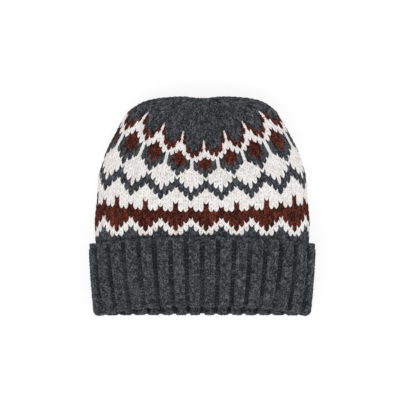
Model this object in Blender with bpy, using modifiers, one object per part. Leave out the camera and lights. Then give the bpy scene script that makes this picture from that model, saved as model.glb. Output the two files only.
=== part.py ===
"""Cuffed beanie: a knitted hat that lies on its back, lightly filled out, with its ribbed cuff turned up.

+Z is the front of the hat, +Y its crown and -Y its mouth. The origin is on the surface that it lies on,
under the middle of the hat. All sizes are in metres.
"""

import math
from typing import NamedTuple

import bmesh
import bpy
import numpy as np

# Patterned body and crown
BODY_WIDTH = 0.2256         # across the widest ring
BODY_DEPTH = 0.0735         # from the flattened back up to the front
BODY_LENGTH = 0.1480        # from the cuff's upper edge to the top of the crown
BODY_WALL = 0.0040          # stranded knitting
REPEATS = 16                # pattern repeats round the hat, with one decrease line in each
POINTS_PER_REPEAT = 4
PATTERN_SHIFT = 0.13        # the front decrease line stands this share of a repeat to the right
DECREASE_DEPTH = 0.0022     # how far each decrease line sinks between the wedges of the crown
APEX_RADIUS = 0.0045        # ring that the closing thread gathers
APEX_DIP = 0.0020           # how far the gathered middle is drawn in

# Ribbed cuff
CUFF_HEIGHT = 0.0740        # from the fold to the cast-on edge, as it lies
CUFF_WALL = 0.0045
RIBS = 32
RIB_DEPTH = 0.0024
LAYER_CLEARANCE = 0.0010    # air between the body and the deepest grooves of the turned-up layer
TURN_UP_GAP = RIB_DEPTH + LAYER_CLEARANCE
CUFF_GRIP = 0.0020          # how much the cuff draws the body in across its width
CUFF_GRIP_FRONT = 0.0034    # the same from the back to the front
CUFF_WIDTH = BODY_WIDTH + 2 * (CUFF_WALL + TURN_UP_GAP) - CUFF_GRIP
CUFF_DEPTH = BODY_DEPTH + CUFF_WALL + TURN_UP_GAP - CUFF_GRIP_FRONT
FOLD_STEPS = 5              # straight steps round the fold
JOIN_DEPTH = 0.0090         # how far under the cast-on edge the body joins the inner layer

SEAM_GAP = 0.0003           # between neighbouring pieces
SEAM_COLLAR = 0.0012        # straight strip at each side of the seam between body and crown
RING_SAMPLES = 720          # points that measure the way round a ring

# Wool colours
CHARCOAL = (0.046, 0.049, 0.057)
CREAM = (0.765, 0.742, 0.716)
WOOL_ROUGHNESS = 0.95


class Section(NamedTuple):
    """One ring of the hat. Widths, lengths and heights are shares of the piece's named sizes."""

    width: float
    side: float      # how far along the piece the ring lies at the hat's two sides
    front: float     # the same in the middle of the front
    back: float      # the same in the middle of the back
    level: float     # height of the two sides
    top: float       # height of the front
    under: float     # height of the back before the surface below flattens it
    bow: float       # 2 bends the ring evenly, nearer 1 gives it a point in the middle
    full: float      # 1 makes the ring an ellipse, less makes it fuller at its four corners
    pull: float = 0.0    # how much of their depth the decrease lines have here


# From the fold up to the cast-on edge.
CUFF_SECTIONS = (
    #       width   side    front   back    level  top    under   bow  full
    Section(0.965, -0.130,  0.000, -0.128,  0.23,  0.512, -0.020, 2.0, 0.62),
    Section(0.980,  0.185,  0.325,  0.190,  0.32,  0.720, -0.020, 2.0, 0.76),
    Section(0.993,  0.530,  0.655,  0.530,  0.39,  0.890, -0.020, 2.0, 0.84),
    Section(1.000,  0.895,  1.000,  0.885,  0.43,  1.000, -0.015, 2.0, 0.88),
)

# From just above the cuff up to the end of the pattern.
BODY_SECTIONS = (
    #       width   side    front   back    level  top    under   bow  full
    Section(1.000,  0.100,  0.095,  0.090,  0.43,  0.960,  0.030, 2.0, 0.85),
    Section(0.980,  0.268,  0.202,  0.215,  0.43,  1.000, -0.020, 2.0, 0.84),
    Section(0.966,  0.415,  0.310,  0.330,  0.43,  0.990, -0.030, 1.6, 0.84),
    Section(0.928,  0.525,  0.390,  0.415,  0.43,  0.945, -0.030, 1.4, 0.85),
    Section(0.878,  0.632,  0.464,  0.500,  0.43,  0.880, -0.030, 1.3, 0.86),
    Section(0.806,  0.740,  0.538,  0.592,  0.42,  0.800, -0.025, 1.3, 0.87),
    Section(0.736,  0.838,  0.610,  0.670,  0.42,  0.730, -0.010, 1.3, 0.88),
    Section(0.645,  0.928,  0.718,  0.770,  0.42,  0.665,  0.020, 1.3, 0.89),
)

# From above the end of the pattern up to the gathered middle.
CROWN_SECTIONS = (
    #       width   side    front   back    level  top    under   bow  full  pull
    Section(0.550,  0.968,  0.803,  0.848,  0.42,  0.630,  0.060, 1.4, 0.90, 0.7),
    Section(0.430,  0.989,  0.872,  0.905,  0.42,  0.600,  0.120, 1.6, 0.92, 1.0),
    Section(0.300,  0.998,  0.928,  0.944,  0.42,  0.560,  0.210, 1.8, 0.94, 1.0),
    Section(0.165,  0.999,  0.968,  0.972,  0.42,  0.505,  0.320, 2.0, 0.96, 0.7),
)

# The fold's place along Y, which puts the middle of the hat's length over the origin.
LOWEST = min(section.side for section in CUFF_SECTIONS) * CUFF_HEIGHT
HIGHEST = CUFF_HEIGHT + max(section.side for section in CROWN_SECTIONS) * BODY_LENGTH
FOLD_Y = -(LOWEST + HIGHEST) / 2


class Crease(NamedTuple):
    """One decrease line that sinks deeper than the rest."""

    repeat: int      # counted to the right from the front line
    depth: float     # added depth, as a share of DECREASE_DEPTH


CREASES = (
    Crease(-4, 0.3),
    Crease(-2, 0.2),
    Crease(-1, 0.5),
    Crease(0, 0.7),
    Crease(1, 1.2),
    Crease(2, 0.6),
)


class RibPoint(NamedTuple):
    """One point across a rib."""

    across: float    # share of the rib's width, from the groove on its left
    depth: float     # how deep the cloth lies there, as a share of RIB_DEPTH


RIB_PROFILE = (
    RibPoint(0.00, 1.00),
    RibPoint(0.24, 0.12),
    RibPoint(0.50, 0.00),
    RibPoint(0.76, 0.12),
)


class Ring(NamedTuple):
    """A section in metres, in the frame of the hat."""

    half_width: float
    side_y: float
    front_y: float
    back_y: float
    side_z: float
    front_z: float
    back_z: float
    bow: float
    full: float


def clear_scene():
    """Removes the objects of an earlier run."""
    for thing in list(bpy.data.objects):
        bpy.data.objects.remove(thing, do_unlink=True)


def make_material(name, colour):
    """Returns a wool material in one colour."""
    material = bpy.data.materials.new(name)
    material.use_nodes = True
    shader = material.node_tree.nodes["Principled BSDF"]
    shader.inputs["Base Color"].default_value = (*colour, 1.0)
    shader.inputs["Roughness"].default_value = WOOL_ROUGHNESS
    shader.inputs["Metallic"].default_value = 0.0
    return material


def body_ring(section):
    """Returns a section of the body or the crown as a ring. Its lengths start at the cast-on edge."""
    start = FOLD_Y + CUFF_HEIGHT
    return Ring(
        half_width=section.width * BODY_WIDTH / 2,
        side_y=start + section.side * BODY_LENGTH,
        front_y=start + section.front * BODY_LENGTH,
        back_y=start + section.back * BODY_LENGTH,
        side_z=section.level * BODY_DEPTH,
        front_z=section.top * BODY_DEPTH,
        back_z=section.under * BODY_DEPTH,
        bow=section.bow,
        full=section.full,
    )


def cuff_ring(section):
    """Returns a section of the cuff's outer face as a ring. Its lengths start at the fold."""
    return Ring(
        half_width=section.width * CUFF_WIDTH / 2,
        side_y=FOLD_Y + section.side * CUFF_HEIGHT,
        front_y=FOLD_Y + section.front * CUFF_HEIGHT,
        back_y=FOLD_Y + section.back * CUFF_HEIGHT,
        side_z=section.level * CUFF_DEPTH,
        front_z=section.top * CUFF_DEPTH,
        back_z=section.under * CUFF_DEPTH,
        bow=section.bow,
        full=section.full,
    )


def between(low, high, share):
    """Returns the ring that lies at a share of the way from one ring to another."""
    return Ring(*(a + (b - a) * share for a, b in zip(low, high)))


def moved(ring, distance):
    """Returns the ring moved along the hat towards the crown."""
    return ring._replace(
        side_y=ring.side_y + distance, front_y=ring.front_y + distance, back_y=ring.back_y + distance
    )


def outline(ring, angles):
    """Returns points of the ring, not yet flattened. Angle 0 is the front middle, and it grows to +X."""
    across, up = np.sin(angles), np.cos(angles)
    x = ring.half_width * np.sign(across) * np.abs(across) ** ring.full
    at_middle = 1.0 - np.abs(across) ** ring.bow
    middle_y = np.where(up > 0, ring.front_y, ring.back_y)
    y = ring.side_y + (middle_y - ring.side_y) * at_middle
    middle_z = np.where(up > 0, ring.front_z, ring.back_z)
    z = ring.side_z + (middle_z - ring.side_z) * np.abs(up) ** ring.full
    return np.stack([x, y, z], axis=1)


def inward(ring, angles):
    """Returns the way into the hat, square to the ring's four sides, at each angle."""
    across, up = np.sin(angles), np.cos(angles)
    x = -np.sign(across) * np.abs(across) ** ring.full
    z = -np.sign(up) * np.abs(up) ** ring.full
    return np.stack([x, np.zeros(len(angles)), z], axis=1)


def ring_points(ring, places, inset=0.0):
    """Returns points of a ring at even steps along its length.

    places are shares of the way round from the middle of the front. inset moves the points into the hat,
    all by one distance or each by its own. The surface that the hat lies on flattens it at height 0.
    """
    angles = np.linspace(0.0, 2.0 * math.pi, RING_SAMPLES + 1)
    steps = np.linalg.norm(np.diff(outline(ring, angles), axis=0), axis=1)
    travelled = np.concatenate([[0.0], np.cumsum(steps)]) / steps.sum()
    placed = np.interp(np.mod(places, 1.0), travelled, angles)
    points = outline(ring, placed) + inward(ring, placed) * np.reshape(inset, (-1, 1))
    points[:, 2] = np.maximum(points[:, 2], inset)
    return points


def sunk(rows, depths):
    """Returns the rings of points with each point moved into the hat, square to the surface.

    depths holds a ring of distances for each of the rows.
    """
    grid = np.array(rows)
    along = np.gradient(grid, axis=0)
    around = np.roll(grid, -1, axis=1) - np.roll(grid, 1, axis=1)
    outward = np.cross(around, along)
    outward /= np.linalg.norm(outward, axis=2, keepdims=True)
    return list(grid - outward * np.array(depths)[:, :, None])


def sheet_object(name, rows, wall, offset, material, collection, cap=None):
    """Returns a shell: an open sheet through the rows of points, thickened by Solidify.

    offset is 0 where the rows follow the middle of the wall and -1 where they follow its outer face. cap is
    the point that closes the last row, or None where the sheet stays open.
    """
    mesh = bpy.data.meshes.new(name)
    bm = bmesh.new()
    grid = [[bm.verts.new(point) for point in row] for row in rows]
    for lower, upper in zip(grid, grid[1:]):
        for k in range(len(lower)):
            after = (k + 1) % len(lower)
            bm.faces.new((lower[k], lower[after], upper[after], upper[k]))
    if cap is not None:
        middle = bm.verts.new(cap)
        last = grid[-1]
        for k in range(len(last)):
            bm.faces.new((last[k], last[(k + 1) % len(last)], middle))
    bm.normal_update()
    bm.to_mesh(mesh)
    bm.free()
    mesh.materials.append(material)
    mesh.shade_smooth()
    shell = bpy.data.objects.new(name, mesh)
    collection.objects.link(shell)
    thickness = shell.modifiers.new("Wall", "SOLIDIFY")
    thickness.thickness = wall
    thickness.offset = offset
    return shell


def repeat_places():
    """Returns the places round the body, one row of points through each decrease line."""
    count = REPEATS * POINTS_PER_REPEAT
    return (np.arange(count) / POINTS_PER_REPEAT + PATTERN_SHIFT) / REPEATS


def decrease_depths(strength):
    """Returns how far each point round the crown sinks. At strength 1 the lines are at their deepest."""
    depths = np.zeros(REPEATS * POINTS_PER_REPEAT)
    depths[::POINTS_PER_REPEAT] = DECREASE_DEPTH
    for crease in CREASES:
        depths[(crease.repeat % REPEATS) * POINTS_PER_REPEAT] += crease.depth * DECREASE_DEPTH
    return depths * strength


def cuff_ring_at(share):
    """Returns the cuff's outer ring at a share of the way up through its sections."""
    place = share * (len(CUFF_SECTIONS) - 1)
    index = min(int(place), len(CUFF_SECTIONS) - 2)
    low, high = cuff_ring(CUFF_SECTIONS[index]), cuff_ring(CUFF_SECTIONS[index + 1])
    return between(low, high, place - index)


def body_under_cuff():
    """Returns the body's two lowest rings of points, which the cuff's outer layer covers."""
    inset = CUFF_WALL + TURN_UP_GAP
    join = cuff_ring_at(1.0 - (JOIN_DEPTH - SEAM_GAP) / CUFF_HEIGHT)
    return [ring_points(ring, repeat_places(), inset) for ring in (join, cuff_ring_at(1.0))]


def body_rows():
    """Returns the body's rings of points, from the join under the cuff to the end of the pattern."""
    return body_under_cuff() + [ring_points(body_ring(section), repeat_places()) for section in BODY_SECTIONS]


def crown_rows():
    """Returns the crown's rings of points after the end of the pattern, each decrease line sunk in."""
    rows = [ring_points(body_ring(section), repeat_places()) for section in CROWN_SECTIONS]
    return sunk(rows, [decrease_depths(section.pull) for section in CROWN_SECTIONS])


def seam(below, edge, above):
    """Returns the two short collars that meet at a seam, in one line so that their end faces match."""
    along = above - below
    along /= np.linalg.norm(along, axis=1, keepdims=True)
    near, far = SEAM_GAP / 2, SEAM_GAP / 2 + SEAM_COLLAR
    return [edge - far * along, edge - near * along], [edge + near * along, edge + far * along]


def build_patterned_body(material, collection):
    """Returns the straight part of the hat, up to the end of the pattern."""
    rows = body_rows()
    collar, _ = seam(rows[-2], rows[-1], crown_rows()[0])
    return sheet_object("patterned_body", rows[:-1] + collar, BODY_WALL, -1.0, material, collection)


def build_crown(material, collection):
    """Returns the plain top, whose decrease lines run up to the gathered middle."""
    lower, upper = body_rows(), crown_rows()
    _, collar = seam(lower[-2], lower[-1], upper[0])
    last = body_ring(CROWN_SECTIONS[-1])
    middle_z = (last.front_z + last.back_z) / 2
    apex = last._replace(
        half_width=APEX_RADIUS, side_y=last.side_y - APEX_DIP, front_y=last.side_y - APEX_DIP,
        back_y=last.side_y - APEX_DIP, side_z=middle_z, front_z=middle_z + APEX_RADIUS,
        back_z=middle_z - APEX_RADIUS,
    )
    rows = collar + upper + [ring_points(apex, repeat_places())]
    cap = (0.0, last.side_y - 2 * APEX_DIP, middle_z)
    return sheet_object("crown", rows, BODY_WALL, -1.0, material, collection, cap)


def build_cuff(material, collection):
    """Returns the ribbed cuff: the inner layer, the fold at its foot and the layer turned up outside it."""
    places, grooves = [], []
    for rib in range(RIBS):
        for point in RIB_PROFILE:
            places.append((rib + point.across) / RIBS)
            grooves.append(point.depth * RIB_DEPTH)
    places, grooves = np.array(places), np.array(grooves)
    outer = CUFF_WALL / 2
    fold_radius = (CUFF_WALL + TURN_UP_GAP) / 2
    inner = outer + 2 * fold_radius
    shares = [k / (len(CUFF_SECTIONS) - 1) for k in range(1, len(CUFF_SECTIONS))]
    join = cuff_ring_at(1.0 - JOIN_DEPTH / CUFF_HEIGHT)
    rows = [ring_points(join, places, inner + grooves)]
    rows += [ring_points(cuff_ring_at(share), places, inner + grooves) for share in reversed(shares[:-1])]
    foot = moved(cuff_ring_at(0.0), outer + fold_radius)
    for step in range(FOLD_STEPS + 1):
        turn = math.pi * step / FOLD_STEPS
        inset = outer + fold_radius * (1.0 + math.cos(turn))
        rows.append(ring_points(moved(foot, -fold_radius * math.sin(turn)), places, inset + grooves))
    rows += [ring_points(cuff_ring_at(share), places, outer + grooves) for share in shares]
    return sheet_object("cuff", rows, CUFF_WALL, 0.0, material, collection)


def main():
    """Builds the hat."""
    clear_scene()
    collection = bpy.data.collections.new("cuffed_beanie")
    bpy.context.scene.collection.children.link(collection)
    charcoal = make_material("charcoal_wool", CHARCOAL)
    cream = make_material("cream_wool", CREAM)
    build_crown(charcoal, collection)
    build_patterned_body(cream, collection)
    build_cuff(charcoal, collection)


main()
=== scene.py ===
"""Looks of the cuffed beanie: its knitted stitches in three wools, with a floor, soft light and a camera.

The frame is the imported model's, in metres: +Z is the front of the hat, +Y its crown and -Y its mouth.
"""

import logging
import math
from dataclasses import dataclass, field, fields, replace
from enum import Enum
from typing import ClassVar, NamedTuple

import bmesh
import bpy
import numpy as np
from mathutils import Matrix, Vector


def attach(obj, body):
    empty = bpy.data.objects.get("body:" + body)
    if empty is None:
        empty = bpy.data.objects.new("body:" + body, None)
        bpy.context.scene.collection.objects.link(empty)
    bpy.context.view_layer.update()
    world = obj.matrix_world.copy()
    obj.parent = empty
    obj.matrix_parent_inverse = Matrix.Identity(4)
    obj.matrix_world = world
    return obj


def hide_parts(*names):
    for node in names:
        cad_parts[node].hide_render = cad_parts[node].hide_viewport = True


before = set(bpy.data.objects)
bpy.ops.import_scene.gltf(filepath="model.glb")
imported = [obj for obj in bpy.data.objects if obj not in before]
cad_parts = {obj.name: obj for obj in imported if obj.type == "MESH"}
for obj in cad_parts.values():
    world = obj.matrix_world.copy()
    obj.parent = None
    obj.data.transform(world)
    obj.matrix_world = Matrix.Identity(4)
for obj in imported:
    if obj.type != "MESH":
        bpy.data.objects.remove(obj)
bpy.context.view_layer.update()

LOG = logging.getLogger("beanie")

REPEATS = 16
COLUMNS = 96                 # stitches round the body
DECREASE_COLUMN = 3          # the column of the repeat on the decrease line
LINE_ROWS = (14.0, 26.0)     # between these rows the front decrease line slants
LINE_OFFSETS = (0.13, 0.07)  # how far it stands to the right of the middle there, in repeats
TEXTURE_SPREAD = 40.0        # how far apart the yarns' textures are shifted from each other
TINY = 1e-12                 # keeps a division from dividing by nothing
MERGE = 1e-6                 # points closer than this are one point, in metres
WHITE = (1.0, 1.0, 1.0, 1.0)


class Yarn(Enum):
    """The three wools, by the record's material slots."""

    CHARCOAL = "charcoal_wool"
    CREAM = "cream_wool"
    RUST = "rust_wool"


YARN_LETTERS = {"G": Yarn.CHARCOAL, "W": Yarn.CREAM, "R": Yarn.RUST}

# One repeat of the pattern, a row of six stitches for each knitted row from the lowest up.
PATTERN = (
    "GGWWWG",
    "GWWRWW",
    "WWRRRW",
    "WRRRRR",
    "RRRRRR",
    "RRRRRR",
    "RWWRWW",
    "WWWRWW",
    "WWWWWW",
    "GWWWWW",
    "GGWWWG",
    "WGGWGG",
    "WWGGGW",
    "WWWGWW",
    "WWWWWW",
    "WWWGWW",
    "WWGGGW",
    "WGGRGG",
    "WGRRRG",
    "WGRRRG",
    "WWRRRW",
    "RWWRWW",
    "RRWWWR",
    "GRWWWR",
    "GGRWRG",
)


class CrownRows(NamedTuple):
    """Rows of the crown that have the same number of stitches."""

    first: int
    last: int
    stitches: int    # in each repeat, the first one on the decrease line


CROWN_ROWS = (
    CrownRows(26, 28, 4),
    CrownRows(29, 31, 3),
    CrownRows(32, 34, 2),
    CrownRows(35, 38, 1),
)


def line_places(rows: np.ndarray | float) -> np.ndarray:
    """Returns where the front decrease line runs at some rows, as a share of the way round."""
    return np.interp(rows, LINE_ROWS, LINE_OFFSETS) / REPEATS


def unit(vectors: np.ndarray) -> np.ndarray:
    """Returns vectors with their length made 1."""
    return vectors / np.maximum(np.linalg.norm(vectors, axis=-1, keepdims=True), TINY)


@dataclass(frozen=True)
class Ring:
    """One ring of the hat, in metres. The front and back are its middles, seen from above."""

    OUTLINE_ANGLES: ClassVar[int] = 1441

    half_width: float
    side_y: float
    front_y: float
    back_y: float
    side_z: float
    front_z: float
    back_z: float
    bow: float           # the power of the bend from its sides to its middles
    full: float          # 1 makes it an ellipse, and less a squarer ring

    def values(self) -> np.ndarray:
        """Returns the ring's numbers as a row."""
        return np.array([getattr(self, item.name) for item in fields(self)])

    def lifted(self, lift: float) -> "Ring":
        """Returns the ring moved towards the crown."""
        return replace(
            self, side_y=self.side_y + lift, front_y=self.front_y + lift, back_y=self.back_y + lift
        )

    def points(self, places: np.ndarray, inset: np.ndarray | float = 0.0) -> np.ndarray:
        """Returns points at even steps along the ring.

        Args:
            places: Shares of the way round, from the middle of the front towards +X.
            inset: How far each point is moved into the hat.

        Returns:
            A row of x, y and z for each place, flattened where the hat lies.
        """
        angles = np.linspace(0.0, 2.0 * math.pi, self.OUTLINE_ANGLES)
        steps = np.linalg.norm(np.diff(self._outline(angles), axis=0), axis=1)
        travelled = np.concatenate([[0.0], np.cumsum(steps)]) / steps.sum()
        placed = np.interp(np.mod(places, 1.0), travelled, angles)
        across, up = np.sin(placed), np.cos(placed)
        inward_x = -np.sign(across) * np.abs(across) ** self.full
        inward_z = -np.sign(up) * np.abs(up) ** self.full
        found = self._outline(placed)
        found[:, 0] += inward_x * inset
        found[:, 2] = np.maximum(found[:, 2] + inward_z * inset, inset)
        return found

    def _outline(self, angles: np.ndarray) -> np.ndarray:
        """Returns the ring's points at angles from the middle of the front, before the back is flattened."""
        across, up = np.sin(angles), np.cos(angles)
        at_middle = 1.0 - np.abs(across) ** self.bow
        middle_y = np.where(up > 0, self.front_y, self.back_y)
        middle_z = np.where(up > 0, self.front_z, self.back_z)
        x = self.half_width * np.sign(across) * np.abs(across) ** self.full
        y = self.side_y + (middle_y - self.side_y) * at_middle
        z = self.side_z + (middle_z - self.side_z) * np.abs(up) ** self.full
        return np.stack([x, y, z], axis=1)


class Section(NamedTuple):
    """A ring of the hat at a knitted row, in shares of the piece's sizes, as in the part's source."""

    row: float
    width: float
    side: float
    front: float
    back: float
    level: float
    top: float
    under: float
    bow: float
    full: float

    def ring(self, start: float, width: float, depth: float, length: float) -> Ring:
        """Returns the section in metres, of a piece of some size that starts at a place along Y."""
        return Ring(
            self.width * width / 2, start + self.side * length, start + self.front * length,
            start + self.back * length, self.level * depth, self.top * depth, self.under * depth,
            self.bow, self.full,
        )


@dataclass(frozen=True)
class HatForm:
    """The shape of the hat's cloth, worked out from the same sizes as the part's solids."""

    body_width: float = 0.2256
    body_depth: float = 0.0735
    body_length: float = 0.1480
    cuff_width: float = 0.2394
    cuff_depth: float = 0.0780
    cuff_height: float = 0.0740
    cuff_wall: float = 0.0045
    turn_up_gap: float = 0.0034
    apex_radius: float = 0.0045
    apex_dip: float = 0.0020
    row_height: float = 0.00385      # of the cuff's ribbing
    cuff_sections: tuple[Section, ...] = (
        #       row   width   side    front   back    level  top    under   bow  full
        Section(0.0,  0.965, -0.130,  0.000, -0.128,  0.23,  0.512, -0.020, 2.0, 0.62),
        Section(1.0,  0.980,  0.185,  0.325,  0.190,  0.32,  0.720, -0.020, 2.0, 0.76),
        Section(2.0,  0.993,  0.530,  0.655,  0.530,  0.39,  0.890, -0.020, 2.0, 0.84),
        Section(3.0,  1.000,  0.895,  1.000,  0.885,  0.43,  1.000, -0.015, 2.0, 0.88),
    )
    body_sections: tuple[Section, ...] = (
        #       row   width   side    front   back    level  top    under   bow  full
        Section(3.0,  1.000,  0.100,  0.095,  0.090,  0.43,  0.960,  0.030, 2.0, 0.85),
        Section(7.0,  0.980,  0.268,  0.202,  0.215,  0.43,  1.000, -0.020, 2.0, 0.84),
        Section(11.0, 0.966,  0.415,  0.310,  0.330,  0.43,  0.990, -0.030, 1.6, 0.84),
        Section(14.0, 0.928,  0.525,  0.390,  0.415,  0.43,  0.945, -0.030, 1.4, 0.85),
        Section(17.0, 0.878,  0.632,  0.464,  0.500,  0.43,  0.880, -0.030, 1.3, 0.86),
        Section(20.0, 0.806,  0.740,  0.538,  0.592,  0.42,  0.800, -0.025, 1.3, 0.87),
        Section(23.0, 0.736,  0.838,  0.610,  0.670,  0.42,  0.730, -0.010, 1.3, 0.88),
        Section(26.5, 0.645,  0.928,  0.718,  0.770,  0.42,  0.665,  0.020, 1.3, 0.89),
        Section(29.0, 0.550,  0.968,  0.803,  0.848,  0.42,  0.630,  0.060, 1.4, 0.90),
        Section(31.5, 0.430,  0.989,  0.872,  0.905,  0.42,  0.600,  0.120, 1.6, 0.92),
        Section(34.0, 0.300,  0.998,  0.928,  0.944,  0.42,  0.560,  0.210, 1.8, 0.94),
        Section(36.5, 0.165,  0.999,  0.968,  0.972,  0.42,  0.505,  0.320, 2.0, 0.96),
    )
    apex_row: float = 38.5
    hidden_row: float = -1.0         # the row of the body that lies just under the cuff's edge
    join_row: float = -3.2           # the row at which the body joins the cuff's inner layer
    join_depth: float = 0.0087       # how far below the cast-on edge that join lies
    hidden_side: float = 0.0020      # how far past the cuff's edge the hidden row runs at the sides
    hidden_front: float = 0.0021     # how far short of it in front
    outer_rings: int = 10
    fold_rings: int = 9
    inner_rings: int = 9

    @property
    def fold_y(self) -> float:
        """The fold's place along Y."""
        lowest = min(section.side for section in self.cuff_sections) * self.cuff_height
        highest = self.cuff_height + max(section.side for section in self.body_sections) * self.body_length
        return -(lowest + highest) / 2

    @property
    def fold_radius(self) -> float:
        """Radius of the cuff's outer face round the fold."""
        return self.cuff_wall + self.turn_up_gap / 2

    def body_ring(self, section: Section) -> Ring:
        """Returns a section of the body in metres."""
        start = self.fold_y + self.cuff_height
        return section.ring(start, self.body_width, self.body_depth, self.body_length)

    def cuff_ring(self, share: float) -> Ring:
        """Returns the cuff's outer ring at a share of the way from the fold to the cast-on edge."""
        rows = np.array([section.row for section in self.cuff_sections])
        rings = np.array([
            section.ring(self.fold_y, self.cuff_width, self.cuff_depth, self.cuff_height).values()
            for section in self.cuff_sections
        ])
        return Ring(*smooth_through(rows, rings, np.array([share * rows[-1]]))[0])

    def body_surface(self) -> "ClothSurface":
        """Returns the outer face of the body and the crown, addressed by knitted row."""
        places = ClothSurface.grid_places()
        inset = self.cuff_wall + self.turn_up_gap
        edge = self.cuff_ring(1.0)
        hidden = replace(
            edge, side_y=edge.side_y + self.hidden_side, front_y=edge.front_y - self.hidden_front
        )
        join = self.cuff_ring(1.0 - self.join_depth / self.cuff_height)
        last = self.body_ring(self.body_sections[-1])
        middle_z = (last.front_z + last.back_z) / 2
        dip_y = last.side_y - self.apex_dip
        apex = replace(
            last, half_width=self.apex_radius, side_y=dip_y, front_y=dip_y, back_y=dip_y,
            side_z=middle_z, front_z=middle_z + self.apex_radius, back_z=middle_z - self.apex_radius,
        )
        rows = [self.join_row, self.hidden_row]
        rings = [join.points(places, inset), hidden.points(places, inset)]
        for section in self.body_sections:
            rows.append(section.row)
            rings.append(self.body_ring(section).points(places))
        rows.append(self.apex_row)
        rings.append(apex.points(places))
        return ClothSurface(np.array(rows), np.array(rings), 1.0)

    def cuff_surface(self, rib: "RibRelief") -> "ClothSurface":
        """Returns the ribbed face of the cuff, from the cast-on edge, round the fold and up inside."""
        places = ClothSurface.grid_places()
        relief = rib.depth_at(places)
        radius = self.fold_radius
        outer_rows = self.cuff_height / self.row_height
        fold_rows = math.pi * radius / self.row_height
        join = 1.0 - self.join_depth / self.cuff_height
        rows, rings = [], []
        sunk = relief * rib.edge_share + rib.edge_roll
        for share in np.linspace(1.0, 0.0, self.outer_rings):
            rows.append(outer_rows * (1.0 - share))
            rings.append(self.cuff_ring(share).lifted(radius * (1.0 - share)).points(places, sunk))
            sunk = relief
        foot = self.cuff_ring(0.0)
        for turn in np.linspace(0.0, math.pi, self.fold_rings)[1:]:
            sunk = relief * (1.0 - (1.0 - rib.fold_share) * math.sin(turn))
            inset = radius * (1.0 - math.cos(turn)) + sunk * math.cos(turn)
            ring = foot.lifted(radius * (1.0 - math.sin(turn))).points(places, inset)
            ring[:, 1] += sunk * math.sin(turn)
            rows.append(outer_rows + fold_rows * turn / math.pi)
            rings.append(ring)
        for share in np.linspace(0.0, join, self.inner_rings)[1:]:
            inset = 2 * radius - relief * min(1.0, (join - share) / rib.join_share)
            rows.append(outer_rows * (1.0 + share) + fold_rows)
            rings.append(self.cuff_ring(share).lifted(radius * (1.0 - share)).points(places, inset))
        return ClothSurface(np.array(rows), np.array(rings), -1.0)


def smooth_through(knots: np.ndarray, values: np.ndarray, wanted: np.ndarray) -> np.ndarray:
    """Returns values on a smooth curve through known ones.

    Args:
        knots: Where the values are known, growing.
        values: The known values, one for each knot along the first axis.
        wanted: Where values are wanted.

    Returns:
        The values there, along the first axis.
    """
    slopes = np.gradient(values, knots, axis=0)
    index = np.clip(np.searchsorted(knots, wanted, side="right") - 1, 0, len(knots) - 2)
    gap = (knots[index + 1] - knots[index]).reshape(-1, *[1] * (values.ndim - 1))
    t = (wanted - knots[index]).reshape(gap.shape) / gap
    low, high = values[index], values[index + 1]
    leave, arrive = slopes[index] * gap, slopes[index + 1] * gap
    bend = (2 * t**3 - 3 * t**2 + 1) * low + (t**3 - 2 * t**2 + t) * leave
    return bend + (3 * t**2 - 2 * t**3) * high + (t**3 - t**2) * arrive


class Spot(NamedTuple):
    """Places on a cloth surface: their points, outward normals and the steps round and along the cloth."""

    point: np.ndarray
    normal: np.ndarray
    around: np.ndarray    # metres for each whole way round
    along: np.ndarray     # metres for each knitted row


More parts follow.
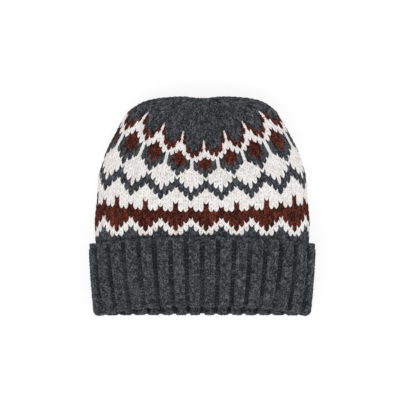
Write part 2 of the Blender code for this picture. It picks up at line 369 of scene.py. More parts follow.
class ClothSurface:
    """A smooth surface of cloth, addressed by the place round the hat and the knitted row."""

    ACROSS = 960              # grid points round the hat
    ROW_STEPS = 6             # grid points for each knitted row
    INSIDE = 0.001            # keeps a level just below the last one, in grid steps

    def __init__(self, rows: np.ndarray, rings: np.ndarray, facing: float) -> None:
        """Lays a fine grid through rings of points.

        Args:
            rows: The knitted row of each ring.
            rings: The rings' points, at grid_places().
            facing: 1 where the cloth faces outwards as its rows grow towards the crown, or -1.
        """
        self.first, self.last = float(rows[0]), float(rows[-1])
        count = int((self.last - self.first) * self.ROW_STEPS) + 1
        self.rows = np.linspace(self.first, self.last, count)
        self.grid = smooth_through(rows, rings, self.rows)
        self.facing = facing
        self._measure()

    @classmethod
    def grid_places(cls) -> np.ndarray:
        """Returns the places of the grid points round the hat."""
        return np.arange(cls.ACROSS) / cls.ACROSS

    def _measure(self) -> None:
        """Works out the grid's steps and normals."""
        self.along = np.gradient(self.grid, self.rows, axis=0)
        self.around = (np.roll(self.grid, -1, axis=1) - np.roll(self.grid, 1, axis=1)) * self.ACROSS / 2
        self.normals = unit(np.cross(self.around, self.along) * self.facing)

    def sink(self, depths: np.ndarray) -> None:
        """Moves the grid into the hat by a depth at each grid point."""
        self.grid = self.grid - self.normals * depths[:, :, None]
        self._measure()

    def draw_down(self, lag: np.ndarray) -> None:
        """Slides the knitting along the cloth by a number of rows at each grid point."""
        step = (self.last - self.first) / (len(self.rows) - 1)
        last = len(self.rows) - 1 - self.INSIDE
        level = np.clip((self.rows[:, None] - lag - self.first) / step, 0.0, last)
        lower = np.floor(level).astype(int)
        part = (level - lower)[..., None]
        column = np.arange(self.ACROSS)[None, :]
        self.grid = self.grid[lower, column] * (1 - part) + self.grid[lower + 1, column] * part
        self._measure()

    def at(self, places: np.ndarray, rows: np.ndarray) -> Spot:
        """Returns the cloth's points and directions at places and rows of the same shape."""
        across = np.mod(places, 1.0) * self.ACROSS
        column = np.floor(across).astype(int)
        right = (across - column)[..., None]
        column %= self.ACROSS
        beside = (column + 1) % self.ACROSS
        height = (np.clip(rows, self.first, self.last) - self.first) * (len(self.rows) - 1)
        height = height / (self.last - self.first)
        level = np.clip(np.floor(height).astype(int), 0, len(self.rows) - 2)
        up = (height - level)[..., None]

        def blend(grid: np.ndarray) -> np.ndarray:
            """Returns the grid's values between its four nearest points."""
            lower = grid[level, column] * (1 - right) + grid[level, beside] * right
            upper = grid[level + 1, column] * (1 - right) + grid[level + 1, beside] * right
            return lower * (1 - up) + upper * up

        return Spot(blend(self.grid), unit(blend(self.normals)), blend(self.around), blend(self.along))


@dataclass(frozen=True)
class RibRelief:
    """How the ribbing rises and sinks round the cuff."""

    ribs: int = 32
    depth: float = 0.0038
    narrowness: float = 7.0      # the larger, the narrower the grooves
    edge_roll: float = 0.0016    # how far the cast-on edge turns in
    edge_share: float = 0.35     # of the grooves' depth, at the cast-on edge
    fold_share: float = 0.25     # of the grooves' depth, at the fold
    join_share: float = 0.20     # of the cuff's height, over which the grooves end inside at the body

    def depth_at(self, places: np.ndarray) -> np.ndarray:
        """Returns how deep the cloth lies at places round the hat."""
        return self.depth * np.abs(np.cos(math.pi * self.ribs * places)) ** self.narrowness


class Crease(NamedTuple):
    """A soft fold of the crown along a decrease line."""

    repeat: float    # counted to the right from the front line
    depth: float     # in metres
    spread: float    # half its width, in repeats


def swell(places: np.ndarray, repeat: float, spread: float) -> np.ndarray:
    """Returns a soft rise to 1 and back over places round the hat.

    Args:
        places: Shares of the way round.
        repeat: Where it is highest, in repeats from the front line.
        spread: Half its width, in repeats.

    Returns:
        Its height at each place.
    """
    apart = (places * REPEATS - repeat + REPEATS / 2) % REPEATS - REPEATS / 2
    return np.exp(-((apart / spread) ** 2))


@dataclass(frozen=True)
class CrownRelief:
    """The decrease lines and creases of the crown, and how they draw the knitting down in front."""

    line_depth: float = 0.0010
    line_spread: float = 0.16
    rows: tuple[float, ...] = (24.5, 27.0, 31.0, 35.0, 38.5)
    strengths: tuple[float, ...] = (0.0, 1.0, 0.9, 0.3, 0.0)
    creases: tuple[Crease, ...] = (
        Crease(-4.0, 0.0014, 0.26),
        Crease(-2.0, 0.0014, 0.26),
        Crease(-1.0, 0.0024, 0.28),
        Crease(0.0, 0.0024, 0.28),
        Crease(1.0, 0.0050, 0.36),
        Crease(2.0, 0.0030, 0.28),
    )
    lag: float = 1.1                 # rows by which the front line hangs back from its neighbours
    lag_spread: float = 0.50         # in repeats
    wide_lag: float = 0.65           # rows by which the whole front hangs back
    wide_spread: float = 2.1         # in repeats
    lag_rows: tuple[float, ...] = (16.0, 24.0, 30.0, 35.0)
    lag_strengths: tuple[float, ...] = (0.0, 1.0, 1.0, 0.0)

    def lags(self, places: np.ndarray, rows: np.ndarray) -> np.ndarray:
        """Returns how many rows the knitting hangs back, for each row and place."""
        strength = np.interp(rows, self.lag_rows, self.lag_strengths)
        lag = self.lag * swell(places, 0.0, self.lag_spread)
        lag += self.wide_lag * swell(places, 0.0, self.wide_spread)
        return strength[:, None] * lag

    def depths(self, places: np.ndarray, rows: np.ndarray) -> np.ndarray:
        """Returns how far the cloth sinks, for each row along the first axis and place along the second."""
        strength = np.interp(rows, self.rows, self.strengths)
        repeats = places * REPEATS
        from_line = repeats - np.round(repeats)
        sunk = self.line_depth * np.exp(-((from_line / self.line_spread) ** 2))
        for crease in self.creases:
            sunk = sunk + crease.depth * swell(places, crease.repeat, crease.spread)
        return strength[:, None] * sunk


@dataclass
class Strands:
    """Short stretches of yarn on a cloth. Every field but the surface has a number for each stretch."""

    surface: ClothSurface
    start_place: np.ndarray
    start_row: np.ndarray
    end_place: np.ndarray
    end_row: np.ndarray
    half_width: np.ndarray
    half_thickness: np.ndarray
    start_lift: np.ndarray       # height of the yarn's middle over the cloth's face
    middle_lift: np.ndarray
    end_lift: np.ndarray
    tone: np.ndarray             # painted shade added to the yarn's shade, below nothing where a groove's shadow is painted on

    def __len__(self) -> int:
        """Returns how many stretches there are."""
        return len(self.start_place)

    def picked(self, chosen: np.ndarray) -> "Strands":
        """Returns only the chosen stretches."""
        return Strands(self.surface, *(getattr(self, item.name)[chosen] for item in fields(self)[1:]))

    @staticmethod
    def together(groups: list["Strands"]) -> "Strands":
        """Returns groups on one surface as a single group."""
        joined = (
            np.concatenate([getattr(group, item.name) for group in groups]) for item in fields(Strands)[1:]
        )
        return Strands(groups[0].surface, *joined)


class YarnRing(NamedTuple):
    """A ring of a stretch of yarn, in shares of its length and of its widest place."""

    along: float
    width: float


LEAF = (
    YarnRing(0.07, 0.34),
    YarnRing(0.24, 0.82),
    YarnRing(0.45, 1.00),
    YarnRing(0.70, 0.80),
    YarnRing(0.90, 0.42),
)
BEAD = (
    YarnRing(0.12, 0.62),
    YarnRing(0.50, 1.00),
    YarnRing(0.88, 0.62),
)


@dataclass(frozen=True)
class YarnShape:
    """A short plump stretch of yarn, modelled once and copied along the cloth."""

    SAME_HEIGHT: ClassVar[float] = 1e-4

    points: np.ndarray        # along from 0 to 1, across and height from -1 to 1
    triangles: np.ndarray
    uv: np.ndarray            # for each corner of each triangle

    @classmethod
    def modelled(cls, profile: tuple[YarnRing, ...], segments: int = 6) -> "YarnShape":
        """Models the stretch as by hand: a ball whose rings are drawn apart and narrowed into a leaf.

        Args:
            profile: The rings between the two ends, from the foot up.
            segments: How many sides the yarn has.

        Returns:
            The shape, as triangles.
        """
        bpy.ops.object.select_all(action="DESELECT")
        bpy.ops.mesh.primitive_uv_sphere_add(segments=segments, ring_count=len(profile) + 1, radius=1.0)
        ball = bpy.context.active_object
        bpy.ops.object.mode_set(mode="EDIT")
        for step, ring in enumerate(profile, start=1):
            turn = math.pi * step / (len(profile) + 1)
            height, reach = -math.cos(turn), math.sin(turn)
            cls._select_ring(ball, height)
            narrowing = ring.width / reach
            bpy.ops.transform.resize(value=(narrowing, narrowing, 1.0))
            bpy.ops.transform.translate(value=(0.0, 0.0, 2.0 * ring.along - 1.0 - height))
            bpy.ops.mesh.hide(unselected=False)
        bpy.ops.mesh.reveal()
        bpy.ops.mesh.select_all(action="SELECT")
        bpy.ops.mesh.quads_convert_to_tris()
        bpy.ops.object.mode_set(mode="OBJECT")
        mesh = ball.data
        points = np.array([vertex.co for vertex in mesh.vertices])
        triangles = np.array([list(polygon.vertices) for polygon in mesh.polygons])
        uv = np.array([corner.uv for corner in mesh.uv_layers.active.data]).reshape(len(triangles), 3, 2)
        bpy.data.objects.remove(ball, do_unlink=True)
        along = (points[:, 2] + 1.0) / 2.0
        return cls(np.stack([along, points[:, 0], points[:, 1]], axis=1), triangles, uv)

    @staticmethod
    def _select_ring(ball: bpy.types.Object, height: float) -> None:
        """Selects the unshaped ring of the ball at a height, in edit mode."""
        bpy.ops.mesh.select_all(action="DESELECT")
        shaped = bmesh.from_edit_mesh(ball.data)
        for vertex in shaped.verts:
            if not vertex.hide and abs(vertex.co.z - height) < YarnShape.SAME_HEIGHT:
                vertex.select = True
        shaped.select_flush(True)
        bmesh.update_edit_mesh(ball.data)


@dataclass(frozen=True)
class Gauge:
    """Proportions of a knit stitch, as shares of its width unless said otherwise."""

    height: float = 2.0          # in rows, from its row to the tips of its V
    drop: float = 0.0            # in rows, how far its foot hangs below its row
    foot: float = 0.05           # how far each half stands from the middle at its foot
    horn: float = 0.49           # the same at its tip
    plumpness: float = 0.285
    thickness: float = 0.22
    foot_lift: float = -0.12
    middle_lift: float = -0.16
    horn_lift: float = -0.27
    unevenness: float = 0.08     # how much the sizes vary, and the places by the shares below
    horn_play: float = 0.4
    foot_play: float = 0.3
    height_play: float = 0.5


@dataclass(frozen=True)
class BarGauge:
    """Proportions of a short bar of yarn, as shares of its length unless said otherwise."""

    slant: float                 # in rows, of each half
    plumpness: float
    thickness: float
    middle_lift: float
    end_lift: float
    unevenness: float = 0.10


@dataclass(frozen=True)
class Fibre:
    """Proportions of a loose fibre, a bent hair with three sides."""

    radius: float = 0.00006
    length: float = 0.0021
    lengths: tuple[float, float] = (0.4, 1.3)    # the least and greatest, as shares of the length
    rise: tuple[float, float] = (0.1, 0.9)       # how closely it follows the cloth's outward direction
    stray: float = 0.55
    bend: float = 0.5
    knee: float = 0.55                           # where it bends, as a share of its length
    taper: float = 0.8                           # its radius at the bend, as a share of that at its root
    shade: tuple[float, float] = (1.2, 0.8)      # the middle and the spread of its shade

    # Two rings of three points and the tip.
    FACES: ClassVar[np.ndarray] = np.array([
        [0, 2, 1], [0, 1, 4], [0, 4, 3], [1, 2, 5], [1, 5, 4], [2, 0, 3], [2, 3, 5],
        [3, 4, 6], [4, 5, 6], [5, 3, 6],
    ])


@dataclass
class Knitter:
    """Lays stitches of yarn on the cloth, and the fine fibres that stand out of it."""

    leaf: YarnShape
    bead: YarnShape
    fibre: Fibre = Fibre()
    seed: int = 7

    def __post_init__(self) -> None:
        """Starts the knitter's dice."""
        self.dice = np.random.default_rng(self.seed)

    def knit_stitches(
        self, surface: ClothSurface, places: np.ndarray, rows: np.ndarray, widths: np.ndarray,
        gauge: Gauge, leans: np.ndarray | float = 0.0,
    ) -> Strands:
        """Lays knit stitches, each a V of two stretches of yarn.

        Args:
            surface: The cloth.
            places: The middle of each stitch, as a share of the way round.
            rows: The row of each stitch's foot.
            widths: The width of each stitch, as a share of the way round.
            gauge: The stitches' proportions.
            leans: How far the top of each stitch leans over, as a share of the way round.

        Returns:
            Two stretches for each stitch, all the left ones first.
        """
        halves = []
        metres = np.linalg.norm(surface.at(places, rows).around, axis=-1) * widths
        for side in (-1.0, 1.0):
            loose = self.dice.normal(0.0, gauge.unevenness, (5, len(places)))
            horn = gauge.horn + gauge.horn_play * loose[0]
            halves.append(Strands(
                surface=surface,
                start_place=places + side * widths * gauge.foot,
                start_row=rows - gauge.drop + gauge.foot_play * loose[1],
                end_place=places + leans + side * widths * horn,
                end_row=rows + gauge.height * (1.0 + gauge.height_play * loose[2]),
                half_width=metres * gauge.plumpness * (1.0 + loose[3]),
                half_thickness=metres * gauge.thickness * (1.0 + loose[4]),
                start_lift=gauge.foot_lift * metres,
                middle_lift=gauge.middle_lift * metres,
                end_lift=gauge.horn_lift * metres,
                tone=np.zeros(len(places)),
            ))
        return Strands.together(halves)

    def bars(
        self, surface: ClothSurface, places: np.ndarray, rows: np.ndarray, widths: np.ndarray,
        gauge: BarGauge, tone: float = 0.0,
    ) -> Strands:
        """Lays short bars of yarn across the cloth, as purl stitches and the cast-on edge show.

        Args:
            surface: The cloth.
            places: The middle of each bar, as a share of the way round.
            rows: The row of each bar.
            widths: The length of each bar, as a share of the way round.
            gauge: The bars' proportions.
            tone: Painted shade added to the yarn's shade, less than nothing where the bars are painted darker
                as if in shadow.

        Returns:
            A stretch for each bar.
        """
        metres = np.linalg.norm(surface.at(places, rows).around, axis=-1) * widths
        loose = self.dice.normal(0.0, gauge.unevenness, (4, len(places)))
        return Strands(
            surface=surface,
            start_place=places - 0.5 * widths,
            start_row=rows - gauge.slant + loose[0],
            end_place=places + 0.5 * widths,
            end_row=rows + gauge.slant + loose[1],
            half_width=metres * gauge.plumpness * (1.0 + loose[2]),
            half_thickness=metres * gauge.thickness * (1.0 + loose[3]),
            start_lift=gauge.end_lift * metres,
            middle_lift=gauge.middle_lift * metres,
            end_lift=gauge.end_lift * metres,
            tone=np.full(len(places), tone),
        )

    def mesh_object(
        self, name: str, legs: list[Strands], bars: list[Strands], fibres: int
    ) -> bpy.types.Object:
        """Returns one object with all the stretches of yarn and their loose fibres.

        Args:
            name: The piece's name.
            legs: The legs of knit stitches.
            bars: The bars of purl stitches and edges.
            fibres: How many fibres stand out of them.

        Returns:
            The object.
        """
        laid, normals, corners, maps, shades = [], [], [], [], []
        offset = 0
        shaped = [(group, self.leaf) for group in legs] + [(group, self.bead) for group in bars]
        for group, shape in shaped:
            points, outward = self._lay(group, shape)
            size, count = len(group), len(shape.points)
            faces = shape.triangles[None] + np.arange(size)[:, None, None] * count + offset
            shift = self.dice.uniform(0.0, TEXTURE_SPREAD, (size, 1, 1, 2))
            laid.append(points.reshape(-1, 3))
            normals.append(outward.reshape(-1, 3))
            corners.append(faces.reshape(-1, 3))
            maps.append((shape.uv[None] + shift).reshape(-1, 2))
            # Each stretch's shade is a random lightness of its yarn plus its group's painted shade.
            shades.append(np.repeat(self.dice.normal(0.0, 1.0, size) + group.tone, count))
            offset += size * count
        points, outward = np.concatenate(laid), np.concatenate(normals)
        if fibres:
            hair, hair_faces = self._fibres(points, outward, fibres)
            corners.append(hair_faces + offset)
            maps.append(self.dice.uniform(0.0, TEXTURE_SPREAD, (len(hair_faces) * 3, 2)))
            shades.append(np.repeat(self.dice.normal(*self.fibre.shade, fibres), len(hair) // fibres))
            points = np.concatenate([points, hair])
        points[:, 2] = np.maximum(points[:, 2], 0.0)
        return build_mesh(name, points, np.concatenate(corners), np.concatenate(maps), np.concatenate(shades))

    @staticmethod
    def _lay(group: Strands, shape: YarnShape) -> tuple[np.ndarray, np.ndarray]:
        """Returns the points of every stretch and the outward directions there."""
        along, across, height = shape.points.T
        places = (group.end_place - group.start_place)[:, None]
        rows = (group.end_row - group.start_row)[:, None]
        spot = group.surface.at(
            group.start_place[:, None] + places * along, group.start_row[:, None] + rows * along
        )
        heading = spot.around * places[..., None] + spot.along * rows[..., None]
        sideways = unit(np.cross(spot.normal, heading))
        ends = group.start_lift[:, None] * (1 - along) + group.end_lift[:, None] * along
        arch = 4 * along * (1 - along)
        lift = ends + (group.middle_lift - (group.start_lift + group.end_lift) / 2)[:, None] * arch
        points = spot.point + sideways * (across * group.half_width[:, None])[..., None]
        points = points + spot.normal * (height * group.half_thickness[:, None] + lift)[..., None]
        return points, spot.normal

    def _fibres(
        self, points: np.ndarray, outward: np.ndarray, count: int
    ) -> tuple[np.ndarray, np.ndarray]:
        """Returns the points and triangles of loose fibres that stand out of some of the points."""
        fibre = self.fibre
        roots = self.dice.integers(0, len(points), count)
        start, up = points[roots], outward[roots]
        stray = self.dice.normal(0.0, 1.0, (2, count, 3))
        length = fibre.length * self.dice.uniform(*fibre.lengths, (count, 1))
        lean = unit(up * self.dice.uniform(*fibre.rise, (count, 1)) + stray[0] * fibre.stray)
        middle = start + lean * length * fibre.knee
        tip = middle + unit(lean + stray[1] * fibre.bend) * length * (1.0 - fibre.knee)
        side = unit(np.cross(lean, stray[1]))
        other = np.cross(lean, side)
        rings = []
        for centre, radius in ((start, fibre.radius), (middle, fibre.radius * fibre.taper)):
            for corner in range(3):
                angle = 2 * math.pi * corner / 3
                rings.append(centre + radius * (side * math.cos(angle) + other * math.sin(angle)))
        hair = np.stack([*rings, tip], axis=1)
        faces = fibre.FACES[None] + np.arange(count)[:, None, None] * hair.shape[1]
        return hair.reshape(-1, 3), faces.reshape(-1, 3)


def add_shade(mesh: bpy.types.Mesh, shades: np.ndarray) -> None:
    """Gives each vertex a number, a random lightness of the yarn plus any painted shade, which the finish
    turns into a lighter or darker yarn.
    """
    shade = mesh.attributes.new("shade", "FLOAT", "POINT")
    shade.data.foreach_set("value", shades.astype(np.float32))


def build_mesh(
    name: str, points: np.ndarray, triangles: np.ndarray, maps: np.ndarray, shades: np.ndarray
) -> bpy.types.Object:
    """Returns a smooth mesh object.

    Args:
        name: The piece's name.
        points: Its vertices.
        triangles: Three vertex numbers for each face.
        maps: The UV of each face corner.
        shades: The yarn's shade at each vertex.

    Returns:
        The object.
    """
    mesh = bpy.data.meshes.new(name)
    mesh.vertices.add(len(points))
    mesh.vertices.foreach_set("co", points.astype(np.float32).ravel())
    mesh.loops.add(triangles.size)
    mesh.loops.foreach_set("vertex_index", triangles.astype(np.int32).ravel())
    mesh.polygons.add(len(triangles))
    mesh.polygons.foreach_set("loop_start", np.arange(0, triangles.size, 3, dtype=np.int32))
    mesh.uv_layers.new(name="yarn").data.foreach_set("uv", maps.astype(np.float32).ravel())
    add_shade(mesh, shades)
    mesh.update(calc_edges=True)
    mesh.shade_smooth()
    piece = bpy.data.objects.new(name, mesh)
    bpy.context.scene.collection.objects.link(piece)
    return piece


class ClothGrid(NamedTuple):
    """A smooth cloth behind the stitches."""

    columns: int         # grid faces round the hat
    levels: int          # grid faces along it
    depth: float         # how far behind the face the cloth starts
    wall: float          # how thick it is
    tone: float = 0.0    # painted shade added to the yarn's shade, below nothing where the cloth is painted darker as if in shadow


def cloth_shell(
    name: str, surface: ClothSurface, first_row: float, last_row: float, cloth: ClothGrid,
    closed_top: bool = False,
) -> bpy.types.Object:
    """Returns the smooth cloth behind the stitches, as a grid that is wrapped round and thickened.

    Args:
        name: The piece's name.
        surface: The face that the cloth follows.
        first_row: Where the cloth starts.
        last_row: Where it ends.
        cloth: The grid's fineness, place and thickness.
        closed_top: Whether its last row is drawn together to a point.

    Returns:
        The object.
    """
    bpy.ops.object.select_all(action="DESELECT")
    bpy.ops.mesh.primitive_grid_add(x_subdivisions=cloth.columns, y_subdivisions=cloth.levels, size=1.0)
    shell = bpy.context.active_object
    shell.name = shell.data.name = name
    flat = np.zeros(len(shell.data.vertices) * 3)
    shell.data.vertices.foreach_get("co", flat)
    flat = flat.reshape(-1, 3) + 0.5
    spot = surface.at(flat[:, 0], first_row + flat[:, 1] * (last_row - first_row))
    wrapped = spot.point - spot.normal * cloth.depth
    if closed_top:
        top = flat[:, 1] > 1.0 - 0.5 / cloth.levels
        wrapped[top] = wrapped[top].mean(axis=0)
    wrapped[:, 2] = np.maximum(wrapped[:, 2], cloth.depth)
    shell.data.vertices.foreach_set("co", wrapped.ravel())
    bpy.ops.object.mode_set(mode="EDIT")
    bpy.ops.mesh.select_all(action="SELECT")
    bpy.ops.mesh.remove_doubles(threshold=MERGE)
    if surface.facing < 0:
        bpy.ops.mesh.flip_normals()
    bpy.ops.object.mode_set(mode="OBJECT")
    thickness = shell.modifiers.new("Wall", "SOLIDIFY")
    thickness.thickness = cloth.wall
    thickness.offset = -1.0
    bpy.ops.object.modifier_apply(modifier=thickness.name)
    # Every vertex of the cloth gets the same painted shade.
    add_shade(shell.data, np.full(len(shell.data.vertices), cloth.tone))
    shell.data.shade_smooth()
    return shell


def set_inputs(node: bpy.types.Node, values: dict[str | int, object]) -> bpy.types.Node:
    """Returns a node after setting some of its inputs, by their names or numbers."""
    for name, value in values.items():
        node.inputs[name].default_value = value
    return node


@dataclass(frozen=True)
class WoolFinish:
    """A wool yarn: heathered colour, fine fibres along the yarn, and a soft sheen."""

    yarn: Yarn
    dark: tuple[float, float, float]
    middle: tuple[float, float, float]
    light: tuple[float, float, float]
    flecks: tuple[float, float, float] = (640.0, 3.0, 0.65)   # scale over the hat, detail, roughness
    streaks: tuple[float, float, float] = (1.6, 4.0, 0.7)     # the same over the yarn's UV
    streak_stretch: tuple[float, float, float] = (9.0, 2.2, 1.0)
    shade_step: float = 0.05         # what one of the shade attribute adds to the noise
    contrast: float = 0.170          # the smaller, the stronger the heather
    roughness: float = 0.95
    specular: float = 0.15
    sheen: float = 0.12
    sheen_roughness: float = 0.45
    bump: float = 0.55
    bump_depth: float = 0.0008

    def material(self) -> bpy.types.Material:
        """Returns the finish as a material."""
        made = bpy.data.materials.new(self.yarn.value)
        made.use_nodes = True
        nodes, links = made.node_tree.nodes, made.node_tree.links
        shader = set_inputs(nodes["Principled BSDF"], {
            "Roughness": self.roughness, "Specular IOR Level": self.specular,
            "Sheen Weight": self.sheen, "Sheen Roughness": self.sheen_roughness,
        })
        place = nodes.new("ShaderNodeTexCoord")
        fleck = self._noise(nodes, self.flecks)
        links.new(place.outputs["Object"], fleck.inputs["Vector"])
        drawn = set_inputs(nodes.new("ShaderNodeMapping"), {"Scale": self.streak_stretch})
        links.new(place.outputs["UV"], drawn.inputs["Vector"])
        streak = self._noise(nodes, self.streaks)
        links.new(drawn.outputs["Vector"], streak.inputs["Vector"])
        shade = nodes.new("ShaderNodeAttribute")
        shade.attribute_name = "shade"
        mixed = nodes.new("ShaderNodeMath")
        mixed.operation = "ADD"
        links.new(fleck.outputs["Fac"], mixed.inputs[0])
        links.new(streak.outputs["Fac"], mixed.inputs[1])
        toned = set_inputs(nodes.new("ShaderNodeMath"), {1: self.shade_step})
        toned.operation = "MULTIPLY_ADD"
        links.new(shade.outputs["Fac"], toned.inputs[0])
        links.new(mixed.outputs[0], toned.inputs[2])
        ramp = set_inputs(nodes.new("ShaderNodeMapRange"), {
            "From Min": 1.0 - self.contrast, "From Max": 1.0 + self.contrast,
        })
        links.new(toned.outputs[0], ramp.inputs["Value"])
        colours = nodes.new("ShaderNodeValToRGB")
        colours.color_ramp.elements[0].color = (*self.dark, 1.0)
        colours.color_ramp.elements[1].color = (*self.light, 1.0)
        colours.color_ramp.elements.new(0.5).color = (*self.middle, 1.0)
        links.new(ramp.outputs["Result"], colours.inputs["Fac"])
        links.new(colours.outputs["Color"], shader.inputs["Base Color"])
        relief = set_inputs(nodes.new("ShaderNodeBump"), {
            "Strength": self.bump, "Distance": self.bump_depth,
        })
        links.new(mixed.outputs[0], relief.inputs["Height"])
        links.new(relief.outputs["Normal"], shader.inputs["Normal"])
        return made

    @staticmethod
    def _noise(nodes: bpy.types.Nodes, settings: tuple[float, float, float]) -> bpy.types.Node:
        """Returns a noise node with its scale, detail and roughness."""
        return set_inputs(
            nodes.new("ShaderNodeTexNoise"), dict(zip(("Scale", "Detail", "Roughness"), settings))
        )


FINISHES = {
    Yarn.CHARCOAL: WoolFinish(
        Yarn.CHARCOAL, (0.010, 0.012, 0.016), (0.034, 0.039, 0.047), (0.135, 0.142, 0.156)
    ),
    Yarn.CREAM: WoolFinish(
        Yarn.CREAM, (0.66, 0.61, 0.58), (0.88, 0.86, 0.84), (0.95, 0.93, 0.91), bump=0.35
    ),
    Yarn.RUST: WoolFinish(
        Yarn.RUST, (0.012, 0.004, 0.004), (0.045, 0.011, 0.008), (0.240, 0.048, 0.022), sheen=0.04
    ),
}


@dataclass
class Wardrobe:
    """The materials, made once each."""

    made: dict[Yarn, bpy.types.Material] = field(default_factory=dict)
    triangles: int = 0

    def dress(self, piece: bpy.types.Object, yarn: Yarn) -> None:
        """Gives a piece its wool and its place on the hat."""
        if yarn not in self.made:
            self.made[yarn] = FINISHES[yarn].material()
        piece.data.materials.clear()
        piece.data.materials.append(self.made[yarn])
        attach(piece, "root")
        triangles = sum(len(polygon.vertices) - 2 for polygon in piece.data.polygons)
        self.triangles += triangles
        LOG.info("%s: %d triangles, %d so far", piece.name, triangles, self.triangles)


@dataclass
class PatternedBody:
    """The straight part of the hat, in stranded knitting."""

    surface: ClothSurface
    gauges: dict[Yarn, Gauge] = field(default_factory=lambda: {
        Yarn.CHARCOAL: Gauge(
            height=2.2, drop=0.25, horn=0.53, plumpness=0.315, foot_lift=-0.09, middle_lift=-0.13,
        ),
        Yarn.CREAM: Gauge(plumpness=0.280),
        Yarn.RUST: Gauge(),
    })
    first_row: int = -2
    leans: tuple[float, ...] = (0.0, -0.12, -0.06, 0.0, 0.06, 0.12)   # of a repeat, from the line
    lean_rows: tuple[float, float] = (21.0, 23.5)   # between them the peaks' stitches start to lean
    lone_width: float = 0.72
    cloth: ClothGrid = ClothGrid(192, 36, 0.0017, 0.0022)
    cloth_over: float = 1.5          # rows by which the cloth goes on past the pattern
    fibres: dict[Yarn, int] = field(default_factory=lambda: {
        Yarn.CHARCOAL: 5000, Yarn.CREAM: 3500, Yarn.RUST: 3500,
    })

    def build(self, knitter: Knitter, wardrobe: Wardrobe) -> None:
        """Knits the pattern, a piece for each wool, on a smooth cloth."""
        cloth = cloth_shell(
            "body_cloth", self.surface, self.surface.first, len(PATTERN) + self.cloth_over, self.cloth
        )
        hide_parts("patterned_body")
        wardrobe.dress(cloth, Yarn.CHARCOAL)
        rows = np.repeat(np.arange(self.first_row, len(PATTERN)), COLUMNS)
        columns = np.tile(np.arange(COLUMNS), len(PATTERN) - self.first_row)
        places = (columns - DECREASE_COLUMN) / COLUMNS + line_places(rows)
        letters = np.array([self.letter(row, column) for row, column in zip(rows, columns)])
        step = (columns - DECREASE_COLUMN) % len(self.leans)
        leans = np.array(self.leans)[step] * np.interp(rows, self.lean_rows, (0.0, 1.0)) / REPEATS
        leans = leans + line_places(rows + Gauge.height) - line_places(rows)
        widths = np.array([
            self.lone_width if self.is_lone(row, column) else 1.0 for row, column in zip(rows, columns)
        ]) / COLUMNS
        for letter, yarn in YARN_LETTERS.items():
            own = letters == letter
            strands = knitter.knit_stitches(
                self.surface, places[own], rows[own].astype(float), widths[own], self.gauges[yarn],
                leans[own],
            )
            name = "body_stitches_" + yarn.name.lower()
            wardrobe.dress(knitter.mesh_object(name, [strands], [], self.fibres[yarn]), yarn)

    @classmethod
    def is_lone(cls, row: int, column: int) -> bool:
        """Returns whether a cream stitch stands alone between two of another wool, which draw it in."""
        here = cls.letter(row, column)
        return here == "W" and here not in (cls.letter(row, column - 1), cls.letter(row, column + 1))

    @staticmethod
    def letter(row: int, column: int) -> str:
        """Returns the chart's letter for a stitch."""
        if row < 0:
            return "G"
        return PATTERN[row][column % len(PATTERN[0])]


class CrownStitch(NamedTuple):
    """A stitch of the crown that is the same in every repeat, with its measures in repeats."""

    letter: str
    place: float         # from the decrease line
    width: float
    lean: float = 0.0    # how far its top leans


@dataclass
class Crown:
    """The plain top, drawn in along its decrease lines and gathered in the middle."""

    surface: ClothSurface
    gauge: Gauge = Gauge(foot_lift=-0.15, middle_lift=-0.19, horn_lift=-0.30)
    tip_gauge: Gauge = Gauge(height=2.4, horn=0.14, foot=0.10, plumpness=0.32, horn_lift=-0.16)
    peak: tuple[CrownStitch, ...] = (    # its first row, where the decreases draw the pattern together
        CrownStitch("W", 0.0, 0.166),
        CrownStitch("R", 0.15, 0.15, -0.09),
        CrownStitch("G", 0.37, 0.24),
        CrownStitch("G", 0.63, 0.24),
        CrownStitch("R", 0.85, 0.15, 0.09),
    )
    cloth: ClothGrid = ClothGrid(192, 24, 0.0017, 0.0022)
    cloth_over: float = 1.4          # rows past the pattern at which the cloth starts
    fibres: int = 5500

    def build(self, knitter: Knitter, wardrobe: Wardrobe) -> None:
        """Knits the crown on a smooth cloth. Its first row still has the tips of the pattern."""
        first_row = len(PATTERN) + self.cloth_over
        cloth = cloth_shell(
            "crown_cloth", self.surface, first_row, self.surface.last, self.cloth, closed_top=True
        )
        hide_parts("crown")
        wardrobe.dress(cloth, Yarn.CHARCOAL)
        groups: dict[Yarn, list[Strands]] = {yarn: [] for yarn in Yarn}
        for row, stitch in self._stitches():
            places = (np.arange(REPEATS) + stitch.place) / REPEATS + line_places(row)
            groups[YARN_LETTERS[stitch.letter]].append(knitter.knit_stitches(
                self.surface, places, np.full(REPEATS, float(row)), np.full(REPEATS, stitch.width / REPEATS),
                self.tip_gauge if stitch.letter == "W" else self.gauge, stitch.lean / REPEATS,
            ))
        for yarn, strands in groups.items():
            fibres = self.fibres if yarn is Yarn.CHARCOAL else 0
            piece = knitter.mesh_object("crown_stitches_" + yarn.name.lower(), strands, [], fibres)
            wardrobe.dress(piece, yarn)

    def _stitches(self) -> list[tuple[int, CrownStitch]]:
        """Returns the stitches of one repeat, with their rows."""
        stitches = [(len(PATTERN), stitch) for stitch in self.peak]
        for band in CROWN_ROWS:
            width = 1 / band.stitches
            for row in range(band.first, band.last + 1):
                for step in range(band.stitches):
                    stitches.append((row, CrownStitch("G", step / band.stitches, width)))
        return stitches


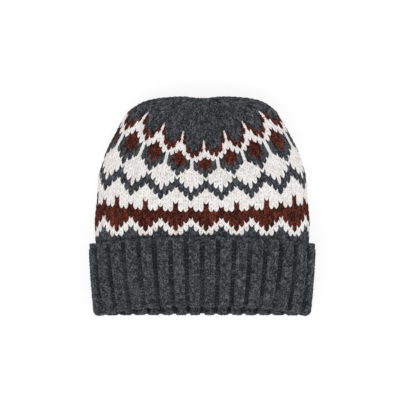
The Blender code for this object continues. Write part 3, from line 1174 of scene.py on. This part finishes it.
@dataclass
class Cuff:
    """The ribbed cuff, turned up once, with two knit columns and one purl column to a rib."""

    surface: ClothSurface
    rib: RibRelief
    gauge: Gauge = Gauge(height=1.9, plumpness=0.29, unevenness=0.10)
    purl_gauge: BarGauge = BarGauge(0.0, 0.24, 0.18, -0.28, -0.36)
    edge_gauge: BarGauge = BarGauge(0.14, 0.30, 0.26, -0.10, -0.22, 0.09)
    edge_row: float = 0.25           # where the cloth and its cast-on edge start
    knit_offset: float = 0.192       # of a knit column from the rib's middle, in ribs
    knit_width: float = 0.385        # of a knit column, in ribs
    purl_width: float = 0.22
    edge_width: float = 0.40
    rows_inside: int = 6             # rows past about the fold, which show in the mouth
    cloth: ClothGrid = ClothGrid(320, 40, 0.0012, 0.0020, -1.9)   # painted shade: the whole cloth darker, as the shadow at the foot of the grooves
    fibres: int = 3800

    def build(self, knitter: Knitter, wardrobe: Wardrobe) -> None:
        """Knits the ribbing on a smooth ribbed cloth, in a front and a back piece."""
        cloth = cloth_shell("cuff_cloth", self.surface, self.edge_row, self.surface.last, self.cloth)
        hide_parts("cuff")
        wardrobe.dress(cloth, Yarn.CHARCOAL)
        ribs = self.rib.ribs
        rib = np.arange(ribs)
        fold_row = int(self.surface.last / 2)
        rows = np.arange(fold_row + self.rows_inside).astype(float)
        knit_places = np.concatenate([
            (rib + 0.5 - self.knit_offset) / ribs, (rib + 0.5 + self.knit_offset) / ribs,
        ])
        places, levels = np.meshgrid(knit_places, rows)
        knit = knitter.knit_stitches(
            self.surface, places.ravel(), levels.ravel(), np.full(places.size, self.knit_width / ribs),
            self.gauge,
        )
        # The purl bars at the foot of the grooves get the cloth's painted shade.
        places, levels = np.meshgrid(rib / ribs, rows)
        purl = knitter.bars(
            self.surface, places.ravel(), levels.ravel(), np.full(places.size, self.purl_width / ribs),
            self.purl_gauge, self.cloth.tone,
        )
        places = np.concatenate([knit_places, rib / ribs])
        edge = knitter.bars(
            self.surface, places, np.full(len(places), self.edge_row),
            np.full(len(places), self.edge_width / ribs), self.edge_gauge,
        )
        for name, front in (("cuff_stitches_front", True), ("cuff_stitches_back", False)):
            legs, purls, edges = (self._half(strands, front) for strands in (knit, purl, edge))
            piece = knitter.mesh_object(name, [legs], [purls, edges], self.fibres)
            wardrobe.dress(piece, Yarn.CHARCOAL)

    @staticmethod
    def _half(strands: Strands, front: bool) -> Strands:
        """Returns the stretches on the front or on the back of the hat."""
        in_front = np.abs(np.mod(strands.start_place + 0.5, 1.0) - 0.5) < 0.25
        return strands.picked(in_front == front)


class SquareLight(NamedTuple):
    """A soft square light that faces the hat."""

    name: str
    place: tuple[float, float, float]
    size: float      # in metres
    power: float     # in watts


@dataclass
class Studio:
    """A plain pale floor, soft light and the camera of the photo."""

    frame_width: float = 0.4290          # what the photo's 410 pixels span at the hat
    middle: tuple[float, float] = (0.00290, 0.0014)
    distance: float = 2.6
    focus_height: float = 0.045
    sensor: float = 36.0                 # in millimetres
    floor_size: float = 8.0
    floor_drop: float = 0.0003           # how far the floor lies below the hat
    floor_grey: float = 0.27
    floor_roughness: float = 0.9
    floor_specular: float = 0.1
    table_glow: float = 0.78
    world_glow: float = 0.62
    lights: tuple[SquareLight, ...] = (
        SquareLight("key", (-0.5, -0.9, 1.9), 1.6, 16.0),
        SquareLight("fill", (0.9, 0.5, 1.7), 1.8, 9.0),
    )

    def build(self) -> None:
        """Builds the floor, the lights and the camera."""
        self._floor()
        for light in self.lights:
            self._light(light)
        world = bpy.data.worlds.new("studio")
        world.use_nodes = True
        set_inputs(world.node_tree.nodes["Background"], {"Color": WHITE, "Strength": self.world_glow})
        bpy.context.scene.world = world
        bpy.context.scene.view_settings.view_transform = "Standard"
        data = bpy.data.cameras.new("camera")
        data.sensor_width = self.sensor
        data.lens = self.sensor * self.distance / self.frame_width
        camera = bpy.data.objects.new("camera", data)
        camera.location = (*self.middle, self.distance + self.focus_height)
        bpy.context.scene.collection.objects.link(camera)
        bpy.context.scene.camera = camera

    def _floor(self) -> None:
        """Adds the floor under the hat, which glows a little as a light table does."""
        bpy.ops.object.select_all(action="DESELECT")
        bpy.ops.mesh.primitive_plane_add(size=self.floor_size, location=(0.0, 0.0, -self.floor_drop))
        floor = bpy.context.active_object
        floor.name = "floor"
        paint = bpy.data.materials.new("pale_floor")
        paint.use_nodes = True
        set_inputs(paint.node_tree.nodes["Principled BSDF"], {
            "Base Color": (*[self.floor_grey] * 3, 1.0), "Roughness": self.floor_roughness,
            "Specular IOR Level": self.floor_specular, "Emission Color": WHITE,
            "Emission Strength": self.table_glow,
        })
        floor.data.materials.append(paint)

    @staticmethod
    def _light(light: SquareLight) -> None:
        """Adds a light."""
        data = bpy.data.lights.new(light.name, "AREA")
        data.size = light.size
        data.energy = light.power
        lamp = bpy.data.objects.new(light.name, data)
        lamp.location = light.place
        lamp.rotation_euler = (-Vector(light.place)).to_track_quat("-Z", "Y").to_euler()
        bpy.context.scene.collection.objects.link(lamp)


def main() -> None:
    """Builds the hat's looks and the studio."""
    logging.basicConfig(level=logging.INFO, format="%(message)s")
    form = HatForm()
    knitter = Knitter(YarnShape.modelled(LEAF), YarnShape.modelled(BEAD))
    wardrobe = Wardrobe()
    hat = form.body_surface()
    relief = CrownRelief()
    hat.draw_down(relief.lags(ClothSurface.grid_places(), hat.rows))
    hat.sink(relief.depths(ClothSurface.grid_places(), hat.rows))
    rib = RibRelief()
    PatternedBody(hat).build(knitter, wardrobe)
    Crown(hat).build(knitter, wardrobe)
    Cuff(form.cuff_surface(rib), rib).build(knitter, wardrobe)
    Studio().build()


if __name__ == "__main__":
    main()
